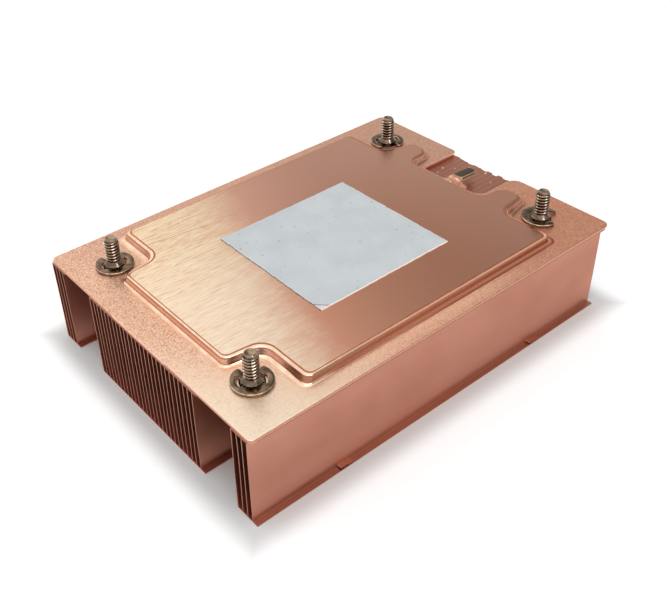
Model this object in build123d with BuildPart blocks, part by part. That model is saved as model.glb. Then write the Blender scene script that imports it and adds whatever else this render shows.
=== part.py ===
"""Vapor chamber processor cooler for a low server case, lying on its fins with the contact face up.

Millimetres. X runs along the plate's long side, Y along the short side and Z up.
The origin is the middle of the rectangle on which the fins stand.
"""

import math
import os

from build123d import *

# The pattern of the four screws, and its distance from the plate's ends and sides
SCREW_SPACING_X = 90.0
SCREW_SPACING_Y = 54.0
SCREW_END_MARGIN = 10.5
SCREW_SIDE_MARGIN = 13.0

# The plate: two sheets of copper, joined round a flat sealed chamber
PLATE_CORNER_RADIUS = 1.8
BASE_SHEET = 0.6
COVER_SHEET = 0.6

# The raised field of the cover, given at its flat top
FIELD_RISE = 2.0
FIELD_LEFT_MARGIN = 9.4
FIELD_RIGHT_MARGIN = 8.6
FIELD_SIDE_MARGIN = 5.4
FIELD_CORNER_RADIUS = 2.2
FIELD_WALL_SPREAD = 1.0
FIELD_SLOPE_RISE = 1.4
FIELD_EDGE_BEVEL = 0.3
WALL_SHEET = 0.7

# The pocket of the raised field round each screw, measured from the screw
SCREW_POCKET_IN_X = 7.8
SCREW_POCKET_IN_Y = 6.8
SCREW_POCKET_RADIUS = 5.2

# The notch in the plate's right end, which clears the fill tube
NOTCH_WIDTH = 20.0
NOTCH_DEPTH = 13.4
NOTCH_RADIUS = 3.0
NOTCH_LIP_RADIUS = 1.2
NOTCH_FIELD_MARGIN = 3.2
NOTCH_FIELD_RADIUS = 3.8

# The fill tube, its neck in the cover and its pinched end
TUBE_Y = -1.3
TUBE_DIAMETER = 2.0
TUBE_BORE = 1.2
TUBE_ROUND_REACH = 2.2
TUBE_PINCH_LENGTH = 1.6
TUBE_FLAT_LENGTH = 3.6
TUBE_FLAT_WIDTH = 2.7
TUBE_FLAT_HEIGHT = 1.1
TUBE_FIT = 0.02
NECK_WALL = 0.5
NECK_TAB_REACH = 1.3
NECK_TAB_WIDTH = 7.0

# The wicks on the chamber's two inner faces, and the square posts between them
WICK_THICKNESS = 0.4
WICK_SIDE_CLEARANCE = 0.6
POST_WIDTH = 3.0
POST_EDGE = 2.0
POST_PITCH_X = 15.0
POST_PITCH_Y = 14.0

# The thermal pad, cut by hand and laid a little off centre
PAD_LENGTH = 39.7
PAD_WIDTH = 37.4
PAD_THICKNESS = 0.25
PAD_CENTRE_X = -1.6
PAD_CENTRE_Y = -2.3

# The fins: folded sheets, each with a flange along its top and its bottom edge
FIN_PITCH = 1.666
FIN_HEIGHT = 23.1
FIN_SHEET = 0.35
FIN_END_INSET = 0.2

# The four captive screws and the clear space that the fins leave round each
SCREW_BAY_WIDTH = 10.0
SCREW_BAY_DEPTH = 17.0
SHANK_DIAMETER = 5.0
SHANK_HOLE_DIAMETER = 5.6
SHOULDER_RISE = 2.6
THREAD_DIAMETER = 3.5
THREAD_TIP_RISE = 7.8
THREAD_BEVEL = 0.5
HEAD_DIAMETER = 8.6
HEAD_HEIGHT = 3.4
RECESS_SPAN = 4.6
RECESS_SLOT = 1.1
RECESS_DEPTH = 2.0

# The retaining clip in the groove of each screw
CLIP_DIAMETER = 9.3
CLIP_THICKNESS = 0.7
CLIP_GROOVE_DIAMETER = 4.0
CLIP_GROOVE_CLEARANCE = 0.05
CLIP_BORE_CLEARANCE = 0.03
CLIP_MOUTH = 3.4
CLIP_MOUTH_FLARE = 5.6
CLIP_RELIEF_ANGLE = 92.0
CLIP_RELIEF_WIDTH = 1.2
CLIP_RELIEF_ARC = 62.0
CLIP_TURNS = (59.0, 75.0, -58.0, 238.0)

# The coil spring of square wire between the plate's underside and the head of each screw
SPRING_DIAMETER = 7.6
SPRING_WIRE = 0.8
SPRING_LENGTH = 12.0
SPRING_COILS = 4
SPRING_STEPS = 12
SPRING_END_CLEARANCE = 0.1

# Levels and places worked out from the sizes above
plate_length = SCREW_SPACING_X + 2 * SCREW_END_MARGIN
plate_width = SCREW_SPACING_Y + 2 * SCREW_SIDE_MARGIN
seam_z = FIN_HEIGHT + BASE_SHEET
deck_z = seam_z + COVER_SHEET
field_z = deck_z + FIELD_RISE
ceiling_z = field_z - COVER_SHEET
notch_x = plate_length / 2 - NOTCH_DEPTH
bay_x = notch_x - NOTCH_FIELD_MARGIN
screw_x = SCREW_SPACING_X / 2
screw_y = SCREW_SPACING_Y / 2
screw_places = [(x, y) for x in (-screw_x, screw_x) for y in (-screw_y, screw_y)]
head_top_z = FIN_HEIGHT - SPRING_LENGTH
head_bottom_z = head_top_z - HEAD_HEIGHT
tube_z = seam_z + TUBE_FIT + TUBE_DIAMETER / 2

# The chamber's inner outline beside that of the raised field, and that of the wicks in it
chamber_spread = FIELD_WALL_SPREAD * COVER_SHEET / FIELD_SLOPE_RISE - WALL_SHEET
wick_spread = chamber_spread - WICK_SIDE_CLEARANCE

# The posts fill the room between the screw pockets
post_room_x = screw_x - SCREW_POCKET_IN_X + wick_spread - POST_WIDTH / 2 - POST_EDGE
post_room_y = plate_width / 2 - FIELD_SIDE_MARGIN + wick_spread - POST_WIDTH / 2 - POST_EDGE
posts_in_x = 1 + int(2 * post_room_x // POST_PITCH_X)
posts_in_y = 1 + int(2 * post_room_y // POST_PITCH_Y)

# The row of fins: the outer face of each fin's wall, from the back edge to the front one
fin_length = plate_length - 2 * FIN_END_INSET
fin_count = int(plate_width // FIN_PITCH)
fin_faces = [(fin_count / 2 - k) * FIN_PITCH for k in range(fin_count)]


def beside_screw(face_y):
    """Say whether the fin whose wall has this outer face would stand in a screw's clear bay."""
    middle = abs(face_y - FIN_PITCH / 2)
    return abs(middle - screw_y) < (SCREW_BAY_WIDTH + FIN_PITCH) / 2


os.makedirs("parts", exist_ok=True)


def save(part, name):
    """Label a finished piece and write it to its own file."""
    part.label = name
    export_step(part, f"parts/{name}.step")


def plate_outline():
    """Sketch the plate's outline: rounded corners, and the notch with its tab for the fill tube."""
    with BuildSketch(mode=Mode.PRIVATE) as outline:
        Rectangle(plate_length, plate_width)
        fillet(outline.vertices(), PLATE_CORNER_RADIUS)
        with Locations((notch_x, 0)):
            Rectangle(2 * NOTCH_DEPTH, NOTCH_WIDTH, align=(Align.MIN, Align.CENTER), mode=Mode.SUBTRACT)
        floor_corners = outline.vertices().group_by(Axis.X)[2]
        fillet(floor_corners, NOTCH_RADIUS)
        mouth_corners = outline.vertices().group_by(Axis.X)[-1].sort_by(Axis.Y)[1:3]
        fillet(mouth_corners, NOTCH_LIP_RADIUS)
        with Locations((notch_x, TUBE_Y)):
            Rectangle(2 * NECK_TAB_REACH, NECK_TAB_WIDTH)
    return outline.sketch


def field_corners(spread):
    """List the corners of the raised field, the given distance outside the edge of its flat top."""
    left = -plate_length / 2 + FIELD_LEFT_MARGIN - spread
    right = plate_length / 2 - FIELD_RIGHT_MARGIN + spread
    side = plate_width / 2 - FIELD_SIDE_MARGIN + spread
    pocket_x = screw_x - SCREW_POCKET_IN_X + spread
    pocket_y = screw_y - SCREW_POCKET_IN_Y + spread
    end_x = bay_x + spread
    bay_y = NOTCH_WIDTH / 2 + NOTCH_FIELD_MARGIN - spread
    return [
        (right, bay_y),
        (right, pocket_y),
        (pocket_x, pocket_y),
        (pocket_x, side),
        (-pocket_x, side),
        (-pocket_x, pocket_y),
        (left, pocket_y),
        (left, -pocket_y),
        (-pocket_x, -pocket_y),
        (-pocket_x, -side),
        (pocket_x, -side),
        (pocket_x, -pocket_y),
        (right, -pocket_y),
        (right, -bay_y),
        (end_x, -bay_y),
        (end_x, bay_y),
    ]


def field_outline(spread):
    """Sketch the raised field's rounded outline, the given distance outside the edge of its flat top."""
    outer = FIELD_CORNER_RADIUS + spread
    pocket = SCREW_POCKET_RADIUS - spread
    bay = NOTCH_FIELD_RADIUS - spread
    long_side = [outer, pocket, outer, outer, pocket, outer]
    with BuildSketch(mode=Mode.PRIVATE) as outline:
        with BuildLine():
            FilletPolyline(
                *field_corners(spread),
                radius=[outer, *long_side, *long_side, outer, bay, bay],
                close=True,
            )
        make_face()
    return outline.sketch


def drill_screw_holes():
    """Cut the holes of the four screws through the sheet that is being made."""
    with Locations([(x, y, deck_z) for x, y in screw_places]):
        Hole(SHANK_HOLE_DIAMETER / 2)


# The stamped cover: a flat rim round a raised field, hollow underneath
with BuildPart() as chamber_cover:
    with BuildSketch(Plane.XY.offset(seam_z)):
        add(plate_outline())
    extrude(amount=COVER_SHEET)
    with BuildSketch(Plane.XY.offset(deck_z)):
        add(field_outline(FIELD_WALL_SPREAD))
    extrude(amount=FIELD_RISE)
    flat_top = chamber_cover.faces().sort_by(Axis.Z)[-1]
    chamfer(flat_top.outer_wire().edges(), FIELD_WALL_SPREAD, FIELD_SLOPE_RISE, reference=flat_top)
    flat_top = chamber_cover.faces().sort_by(Axis.Z)[-1]
    chamfer(flat_top.outer_wire().edges(), FIELD_EDGE_BEVEL)
    with BuildSketch(Plane.YZ.offset(bay_x)):
        with Locations((TUBE_Y, tube_z)):
            Circle(TUBE_DIAMETER / 2 + NECK_WALL)
        with Locations((TUBE_Y, tube_z)):
            Rectangle(TUBE_DIAMETER + 2 * NECK_WALL, tube_z - seam_z, align=(Align.CENTER, Align.MAX))
        with Locations((TUBE_Y, seam_z)):
            Rectangle(plate_width, FIN_HEIGHT, align=(Align.CENTER, Align.MAX), mode=Mode.SUBTRACT)
    extrude(amount=notch_x + NECK_TAB_REACH - bay_x)
    with BuildSketch(Plane.XY.offset(seam_z)):
        add(field_outline(chamber_spread))
    extrude(amount=ceiling_z - seam_z, mode=Mode.SUBTRACT)
    with BuildSketch(Plane.YZ.offset(bay_x + chamber_spread)):
        with Locations((TUBE_Y, tube_z)):
            Circle(TUBE_DIAMETER / 2 + TUBE_FIT)
            Rectangle(TUBE_DIAMETER + 2 * TUBE_FIT, FIN_HEIGHT, align=(Align.CENTER, Align.MAX))
    extrude(amount=plate_length, mode=Mode.SUBTRACT)
    drill_screw_holes()

save(chamber_cover.part, "chamber_cover")

# The flat base, soldered to the fins
with BuildPart() as chamber_base:
    with BuildSketch(Plane.XY.offset(FIN_HEIGHT)):
        add(plate_outline())
    extrude(amount=BASE_SHEET)
    drill_screw_holes()

save(chamber_base.part, "chamber_base")


def sinter_wick(bottom_z, name):
    """Make one wick, a thin porous layer cut square to the chamber's outline."""
    with BuildPart() as wick:
        with BuildSketch(Plane.XY.offset(bottom_z)):
            with BuildLine():
                Polyline(*field_corners(wick_spread), close=True)
            make_face()
        extrude(amount=WICK_THICKNESS)
    save(wick.part, name)


sinter_wick(seam_z, "condenser_wick")
sinter_wick(ceiling_z - WICK_THICKNESS, "evaporator_wick")

# The posts that hold the two sheets apart against the outside air's pressure
with BuildPart() as support_posts:
    with BuildSketch(Plane.XY.offset(seam_z + WICK_THICKNESS)):
        with GridLocations(POST_PITCH_X, POST_PITCH_Y, posts_in_x, posts_in_y):
            Rectangle(POST_WIDTH, POST_WIDTH)
    extrude(amount=ceiling_z - seam_z - 2 * WICK_THICKNESS)

save(support_posts.part, "support_posts")

# The fill tube: round through its neck, then pinched flat and sealed
tube_start_x = bay_x + wick_spread + WICK_SIDE_CLEARANCE / 2
tube_pinch_x = notch_x + TUBE_ROUND_REACH
tube_flat_x = tube_pinch_x + TUBE_PINCH_LENGTH
with BuildPart() as fill_tube:
    with BuildSketch(Plane.YZ.offset(tube_start_x)):
        with Locations((TUBE_Y, tube_z)):
            Circle(TUBE_DIAMETER / 2)
            Circle(TUBE_BORE / 2, mode=Mode.SUBTRACT)
    extrude(amount=tube_pinch_x - tube_start_x)
    with BuildSketch(Plane.YZ.offset(tube_pinch_x)):
        with Locations((TUBE_Y, tube_z)):
            Rectangle(TUBE_DIAMETER, TUBE_DIAMETER)
    with BuildSketch(Plane.YZ.offset(tube_flat_x)):
        with Locations((TUBE_Y, tube_z)):
            Rectangle(TUBE_FLAT_WIDTH, TUBE_FLAT_HEIGHT)
    loft()
    with BuildSketch(Plane.YZ.offset(tube_flat_x)):
        with Locations((TUBE_Y, tube_z)):
            Rectangle(TUBE_FLAT_WIDTH, TUBE_FLAT_HEIGHT)
    extrude(amount=TUBE_FLAT_LENGTH)

save(fill_tube.part, "fill_tube")

with BuildPart() as thermal_pad:
    with BuildSketch(Plane.XY.offset(field_z)):
        with Locations((PAD_CENTRE_X, PAD_CENTRE_Y)):
            Rectangle(PAD_LENGTH, PAD_WIDTH)
    extrude(amount=PAD_THICKNESS)

save(thermal_pad.part, "thermal_pad")


def fold_fins(faces, length, name):
    """Fold one fin, or a group of like fins, from sheet: a wall with a flange at top and bottom."""
    with BuildPart() as fins:
        with BuildSketch(Plane.YZ.offset(-length / 2)):
            for face_y in faces:
                with BuildLine():
                    Polyline(
                        (face_y - FIN_PITCH, FIN_HEIGHT),
                        (face_y, FIN_HEIGHT),
                        (face_y, 0),
                        (face_y - FIN_PITCH, 0),
                    )
                    offset(amount=FIN_SHEET, side=Side.RIGHT, kind=Kind.INTERSECTION)
                make_face()
        extrude(amount=length)
    save(fins.part, name)


short_fin_length = fin_length - 2 * SCREW_BAY_DEPTH
for k, face_y in enumerate(fin_faces, start=1):
    if not beside_screw(face_y):
        fold_fins([face_y], fin_length, f"fin_{k:02d}")
short_faces = [face_y for face_y in fin_faces if beside_screw(face_y)]
fold_fins([face_y for face_y in short_faces if face_y > 0], short_fin_length, "short_fins_back")
fold_fins([face_y for face_y in short_faces if face_y < 0], short_fin_length, "short_fins_front")


def turn_screw(x, y, name):
    """Turn one captive screw, thread up: recessed head, shank, groove, shoulder and threaded end."""
    head_r = HEAD_DIAMETER / 2
    shank_r = SHANK_DIAMETER / 2
    groove_r = CLIP_GROOVE_DIAMETER / 2
    thread_r = THREAD_DIAMETER / 2
    groove_top = deck_z + CLIP_THICKNESS
    groove_bottom = deck_z - CLIP_GROOVE_CLEARANCE
    shoulder_z = deck_z + SHOULDER_RISE
    tip_z = deck_z + THREAD_TIP_RISE
    with BuildPart() as screw:
        with BuildSketch(Plane(origin=(x, y, 0), x_dir=(1, 0, 0), z_dir=(0, -1, 0))):
            with BuildLine():
                Polyline(
                    (0, head_bottom_z),
                    (head_r, head_bottom_z),
                    (head_r, head_top_z),
                    (shank_r, head_top_z),
                    (shank_r, groove_bottom),
                    (groove_r, groove_bottom),
                    (groove_r, groove_top),
                    (shank_r, groove_top),
                    (shank_r, shoulder_z),
                    (thread_r, shoulder_z),
                    (thread_r, tip_z - THREAD_BEVEL),
                    (thread_r - THREAD_BEVEL, tip_z),
                    (0, tip_z),
                    close=True,
                )
            make_face()
        revolve(axis=Axis((x, y, 0), (0, 0, 1)))
        with BuildSketch(Plane.XY.offset(head_bottom_z)):
            with Locations((x, y)):
                Rectangle(RECESS_SPAN, RECESS_SLOT)
                Rectangle(RECESS_SLOT, RECESS_SPAN)
        extrude(amount=RECESS_DEPTH, mode=Mode.SUBTRACT)
    save(screw.part, name)


def stamp_clip(x, y, mouth_angle, name):
    """Stamp one retaining clip: an open ring that grips the screw's groove on three teeth."""
    bore_r = CLIP_GROOVE_DIAMETER / 2 + CLIP_BORE_CLEARANCE
    relief_r = bore_r + CLIP_RELIEF_WIDTH / 2
    with BuildPart() as clip:
        with BuildSketch(Plane.XY.offset(deck_z)):
            with Locations((x, y)):
                Circle(CLIP_DIAMETER / 2)
                Circle(bore_r, mode=Mode.SUBTRACT)
            with Locations(Location((x, y, 0), (0, 0, mouth_angle))):
                Rectangle(CLIP_DIAMETER, CLIP_MOUTH, align=(Align.MIN, Align.CENTER), mode=Mode.SUBTRACT)
                Trapezoid(
                    CLIP_MOUTH_FLARE, CLIP_DIAMETER / 2, 100, rotation=-90, align=(Align.CENTER, Align.MAX),
                    mode=Mode.SUBTRACT,
                )
                for side in (-1, 1):
                    middle = side * CLIP_RELIEF_ANGLE
                    SlotArc(
                        CenterArc((0, 0), relief_r, middle - CLIP_RELIEF_ARC / 2, CLIP_RELIEF_ARC),
                        CLIP_RELIEF_WIDTH,
                        mode=Mode.SUBTRACT,
                    )
        extrude(amount=CLIP_THICKNESS)
    save(clip.part, name)


def wind_spring(x, y, name):
    """Wind one compression spring in short straight lengths, with square wire."""
    mean_r = (SPRING_DIAMETER - SPRING_WIRE) / 2
    steps = SPRING_COILS * SPRING_STEPS
    end_gap = SPRING_WIRE / 2 + SPRING_END_CLEARANCE
    climb = (SPRING_LENGTH - 2 * end_gap) / steps
    first_z = head_top_z + end_gap
    turns = [math.tau * step / SPRING_STEPS for step in range(steps + 1)]
    points = [
        (x + mean_r * math.cos(turn), y + mean_r * math.sin(turn), first_z + climb * step)
        for step, turn in enumerate(turns)
    ]
    with BuildPart() as spring:
        with BuildLine():
            coil = Polyline(*points)
        with BuildSketch(Plane(coil @ 0, x_dir=(1, 0, 0), z_dir=coil % 0)):
            Rectangle(SPRING_WIRE, SPRING_WIRE)
        sweep(transition=Transition.RIGHT)
    save(spring.part, name)


for k, (x, y) in enumerate(screw_places):
    turn_screw(x, y, f"screw_{k + 1}")
    stamp_clip(x, y, CLIP_TURNS[k], f"retaining_clip_{k + 1}")
    wind_spring(x, y, f"spring_{k + 1}")
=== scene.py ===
"""Vapor chamber processor cooler, dressed over its CAD frame and set on a pale studio floor."""

import math
import random

import bpy
from mathutils import Matrix, Quaternion, Vector
from mathutils.geometry import delaunay_2d_cdt


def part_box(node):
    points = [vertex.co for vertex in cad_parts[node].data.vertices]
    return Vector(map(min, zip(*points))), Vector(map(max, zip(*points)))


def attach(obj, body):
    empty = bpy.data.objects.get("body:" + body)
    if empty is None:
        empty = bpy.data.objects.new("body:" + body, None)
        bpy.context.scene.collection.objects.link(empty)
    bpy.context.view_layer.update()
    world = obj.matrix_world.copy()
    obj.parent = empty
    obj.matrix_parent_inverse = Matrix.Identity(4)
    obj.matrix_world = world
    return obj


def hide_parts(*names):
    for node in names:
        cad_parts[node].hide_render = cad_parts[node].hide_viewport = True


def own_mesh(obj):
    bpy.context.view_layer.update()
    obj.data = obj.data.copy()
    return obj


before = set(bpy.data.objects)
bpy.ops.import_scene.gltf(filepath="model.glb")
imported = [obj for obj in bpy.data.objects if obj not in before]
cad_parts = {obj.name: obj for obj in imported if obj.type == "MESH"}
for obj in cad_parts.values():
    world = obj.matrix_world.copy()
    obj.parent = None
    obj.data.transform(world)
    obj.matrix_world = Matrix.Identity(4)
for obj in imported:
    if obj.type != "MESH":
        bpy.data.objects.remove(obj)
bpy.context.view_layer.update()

MM = 0.001


def corner_mm(node):
    """Give the lowest and the highest corner of a CAD node, in millimetres."""
    low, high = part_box(node)
    return low / MM, high / MM


# Sizes in millimetres, read from the frame where it has them
cover_low, cover_high = corner_mm("chamber_cover")
base_low, base_high = corner_mm("chamber_base")
pad_low, pad_high = corner_mm("thermal_pad")
tube_low, tube_high = corner_mm("fill_tube")
HALF_LENGTH = cover_high.x
HALF_WIDTH = cover_high.y
UNDERSIDE = base_low.z
SEAM = cover_low.z
FIELD_TOP = cover_high.z
COVER_SHEET = 0.6
DECK = SEAM + COVER_SHEET
SCREWS = {n: (corner_mm(f"screw_{n}")[0] + corner_mm(f"screw_{n}")[1]) / 2 for n in range(1, 5)}
SCREW_Y = SCREWS[4].y

# The plate's outline: the sheets' corners, the notch in the right end and the tube's tab in it
PLATE_CORNER = 1.8
FRONT_LEFT_CORNER = 1.2
NOTCH_HALF_WIDTH = 10.0
NOTCH_X = HALF_LENGTH - 13.4
NOTCH_FRONT_CORNER = 3.0
NOTCH_BACK_CORNER = 1.2
LIP_BACK_CORNER = 1.2
LIP_FRONT_CORNER = 3.0
TAB_REACH = 1.3
TAB_HALF_WIDTH = 3.5
TAB_CORNER = 0.6
TUBE_Y = (tube_low.y + tube_high.y) / 2
TUBE_Z = (tube_low.z + tube_high.z) / 2
FLAT_RISE = 0.75

# The raised field, with a pocket for each screw and a bay at the notch
FIELD_LEFT = -HALF_LENGTH + 9.4
FIELD_RIGHT = HALF_LENGTH - 8.6
FIELD_MIDDLE = (FIELD_LEFT + FIELD_RIGHT) / 2
FIELD_SIDE = HALF_WIDTH - 5.4
FOOT_SPREAD = 1.3
BAY_X = NOTCH_X - 3.2
BAY_Y = NOTCH_HALF_WIDTH + 3.2

CORNER_STEPS = 10
HOLE_STEPS = 40
SHANK_HOLE = 2.8


class Reading:
    """A value or colour at some point of a finish. Sums with it add the nodes that work them out."""

    def __init__(self, nodes, socket):
        self.nodes = nodes
        self.socket = socket

    def sum(self, operation, first, second):
        return self.nodes.node("ShaderNodeMath", {"operation": operation}, {0: first, 1: second})

    def __add__(self, other):
        return self.sum("ADD", self, other)

    def __sub__(self, other):
        return self.sum("SUBTRACT", self, other)

    def __rsub__(self, other):
        return self.sum("SUBTRACT", other, self)

    def __mul__(self, other):
        return self.sum("MULTIPLY", self, other)

    __radd__ = __add__
    __rmul__ = __mul__


class Nodes:
    """A tree of nodes under way."""

    def __init__(self, tree):
        self.tree = tree

    def node(self, kind, settings=None, sockets=None, out=0):
        """Add a node: its settings first, then the value or the link of each of its sockets."""
        node = self.tree.nodes.new(kind)
        for key, value in (settings or {}).items():
            setattr(node, key, value)
        for key, value in (sockets or {}).items():
            self.feed(node.inputs[key], value)
        return Reading(self, node.outputs[out])

    def feed(self, socket, value):
        """Link a reading to a socket, or set a plain value on it."""
        if isinstance(value, Reading):
            self.tree.links.new(value.socket, socket)
        else:
            socket.default_value = value

    def mix(self, amount, first, second):
        """Go from the first colour to the second by the given amount."""
        return self.node("ShaderNodeMix", {"data_type": "RGBA"}, {0: amount, 6: first, 7: second}, out=2)

    def ramp(self, value, low, high, start=0.0, end=1.0):
        """Go smoothly from the start at the low value to the end at the high one."""
        sockets = {"Value": value, 1: low, 2: high, 3: start, 4: end}
        return self.node("ShaderNodeMapRange", {"interpolation_type": "SMOOTHSTEP"}, sockets)

    def fade(self, value, low, high):
        """Go smoothly from 1 at the low value to 0 at the high one."""
        return self.ramp(value, low, high, 1.0, 0.0)


class Finish(Nodes):
    """A material under way: its shader, and the place on the piece in metres."""

    def __init__(self, name):
        self.material = bpy.data.materials.new(name)
        self.material.use_nodes = True
        super().__init__(self.material.node_tree)
        self.shader = self.tree.nodes["Principled BSDF"]
        self.place = self.node("ShaderNodeTexCoord", out="Object")
        self.x, self.y, self.z = (
            self.node("ShaderNodeSeparateXYZ", {}, {0: self.place}, out=axis) for axis in "XYZ")

    def grain(self, size, detail=2.0, along=(1.0, 1.0, 1.0), roughness=0.5):
        """Give soft noise with grains of the given size in millimetres, drawn out along the axes."""
        scale = [1 / (size * MM * stretch) for stretch in along]
        scaled = self.node("ShaderNodeVectorMath", {"operation": "MULTIPLY"}, {0: self.place, 1: scale})
        sockets = {"Vector": scaled, "Scale": 1.0, "Detail": detail, "Roughness": roughness}
        return self.node("ShaderNodeTexNoise", {}, sockets)

    def by_grain(self, grain, low=0.0, high=1.0):
        """Go from a low value to a high one by a grain."""
        return self.ramp(grain, *GRAIN_SPREAD, low, high)

    def mottle(self, grain, dark, light):
        """Go from a dark colour to a light one by a grain."""
        return self.mix(self.by_grain(grain), dark, light)

    def size_of(self, value):
        """Give a value without its sign."""
        return self.node("ShaderNodeMath", {"operation": "ABSOLUTE"}, {0: value})

    def bump(self, height, depth, strength):
        """Turn a height from 0 to 1 into a normal, for a depth in millimetres."""
        sockets = {"Height": height, "Distance": depth * MM, "Strength": strength}
        return self.node("ShaderNodeBump", {}, sockets)

    def coat(self, base, rough, normal, metal=1.0):
        """Feed the shader its colour, roughness and bumps, and how far it is metal."""
        return self.set(Base_Color=base, Roughness=rough, Normal=normal, Metallic=metal)

    def set(self, **values):
        """Feed the shader's own sockets, named with _ for a space."""
        for key, value in values.items():
            self.feed(self.shader.inputs[key.replace("_", " ")], value)
        return self.material

    def copper(self, base, rough, normal, metal=1.0):
        """Coat it as copper, which pales at a slant."""
        self.set(Specular_Tint=COPPER_AT_A_SLANT)
        return self.coat(base, rough, normal, metal)


def tone(red, green, blue):
    """Turn a colour as it is seen on a screen, 0 to 255, into the linear one that a shader takes."""
    def linear(value):
        share = value / 255
        return share / 12.92 if share <= 0.04045 else ((share + 0.055) / 1.055) ** 2.4
    return (linear(red), linear(green), linear(blue), 1.0)


# The finishes, with grains in millimetres and places in metres
# The part of its range that a noise mostly fills
GRAIN_SPREAD = (0.3, 0.7)
COPPER_AT_A_SLANT = tone(254, 232, 218)


def pressed_copper():
    """The cover's rim: copper as pressed, with a fine orange peel whose pale specks are painted sparkle,
    fainter at the front left. Painted highlight pales it toward the front left corner, painted shade browns
    it toward the back right, and beside the field's front foot it is half metallic as painted light.
    """
    finish = Finish("pressed_copper")
    x, y = finish.x, finish.y
    peel = finish.grain(0.35, 3.0, roughness=0.65)
    coarse = finish.grain(1.1)
    # Painted highlight toward the front left corner, palest at the corner; painted shade toward the back
    # right.
    toward_corner = -1 * (x + y)
    from_front = finish.ramp(y, -0.03, 0.01)
    far = finish.mix(from_front, tone(233, 166, 135), tone(226, 179, 154))
    near = finish.mix(from_front, tone(246, 190, 157), tone(244, 197, 167))
    base = finish.mix(finish.ramp(toward_corner, -0.005, 0.035), far, near)
    base = finish.mix(finish.ramp(toward_corner, 0.045, 0.09), base, tone(253, 232, 206))
    depth = finish.ramp(x, -0.048, -0.015, 1.0, 0.5) * finish.ramp(toward_corner, 0.055, 0.076, 1.0, 0.3)
    # The peel's dark specks are grain; its pale specks are painted sparkle.
    base = finish.mix(finish.ramp(peel, 0.32, 0.52, 0.75, 0.0) * depth, base, tone(172, 112, 78))
    base = finish.mix(finish.ramp(peel, 0.52, 0.7, 0.0, 0.9) * depth, base, tone(255, 238, 214))
    # Beside the field's front foot the rim is half metallic: painted light in place of the wall's
    # reflection.
    beside = finish.ramp(y, -0.0396, -0.0372) * finish.fade(y, -0.034, -0.032)
    beside = beside * finish.ramp(x, -0.036, -0.026) * finish.fade(x, 0.0, 0.04)
    normal = finish.bump((peel * 0.7 + coarse * 0.3) * depth, 0.13, 0.95)
    return finish.copper(base, finish.ramp(peel, 0.4, 0.6, 0.4, 0.48), normal, 1.0 - 0.5 * beside)


def brushed_copper():
    """The flat top: finished by lapping lengthwise to short bright streaks on the left, and smooth on the
    right. The left is painted pale gold as painted highlight, and the smooth tone shifts from front to back
    and toward the right as painted reflection.
    """
    finish = Finish("brushed_copper")
    x, y = finish.x, finish.y
    streak = 0.7 * finish.grain(0.16, 3.0, along=(18.0, 1.0, 1.0), roughness=0.6)
    streak = streak + 0.3 * finish.grain(0.34, along=(40.0, 1.0, 1.0))
    wander = finish.grain(5.0)
    lapped_and_lit = finish.fade(x - 0.3 * y + 0.008 * wander, -0.028, -0.009)
    marked = 0.03 + 0.97 * lapped_and_lit
    # Painted reflection: the smooth tone shifts from front to back, and pales toward the right.
    smooth = finish.mix(finish.ramp(y, -0.02, 0.032), tone(224, 160, 131), tone(227, 174, 152))
    smooth = finish.mix(finish.ramp(x, 0.01, 0.04) * 0.5, smooth, tone(242, 190, 166))
    # Painted highlight: pale gold on the lapped left, with bright streaks there.
    painted_highlight_gold = finish.mix(finish.ramp(y, -0.01, 0.025), tone(251, 226, 198), tone(249, 220, 184))
    base = finish.mix(lapped_and_lit, smooth, painted_highlight_gold)
    dark = finish.fade(streak, 0.36, 0.5) * finish.ramp(y, -0.005, 0.022, 0.42, 0.8)
    base = finish.mix(dark * marked, base, tone(196, 146, 108))
    base = finish.mix(finish.ramp(streak, 0.52, 0.66, 0.0, 0.8) * marked, base, tone(255, 248, 232))
    scratch = finish.fade(finish.size_of(y + 0.151 * x - 0.0203 - 0.0008 * wander), 0.00005, 0.0002)
    scratch = scratch * finish.fade(x, -0.03, -0.01)
    base = finish.mix(scratch * 0.6, base, tone(150, 98, 70))
    normal = finish.bump(streak * marked - scratch * 0.6, 0.014, 0.8)
    return finish.copper(base, 0.25 + 0.1 * (streak * marked), normal)


def drawn_copper():
    """The field's drawn wall: smooth, with a painted highlight band at mid height, painted shade above and
    below it and darker still at its foot, and browner along the front as painted shade.
    """
    finish = Finish("drawn_copper")
    ripple, fine = finish.grain(1.8), finish.grain(0.3)
    # Painted highlight: a pale band at mid height; painted shade above and below it.
    middle = finish.fade(finish.size_of(finish.z - (DECK + FIELD_TOP) / 2 * MM), 0.0003, 0.0006)
    front = finish.fade(finish.y + 0.002 * ripple, -0.031, -0.024)
    bright = finish.mottle(ripple, tone(228, 188, 172), tone(238, 202, 188))
    base = finish.mix(middle, tone(174, 122, 98), bright)
    # Painted shade: darker at the foot, and browner on the front faces.
    low = finish.fade(finish.z, (DECK + 0.25) * MM, (DECK + 0.5) * MM)
    base = finish.mix(low, base, tone(140, 88, 62))
    base = finish.mix(front * 0.85, base, tone(166, 114, 88))
    normal = finish.bump(ripple * 0.8 + fine * 0.2, 0.03, 0.4)
    return finish.copper(base, finish.by_grain(fine, 0.26, 0.34), normal)


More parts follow.
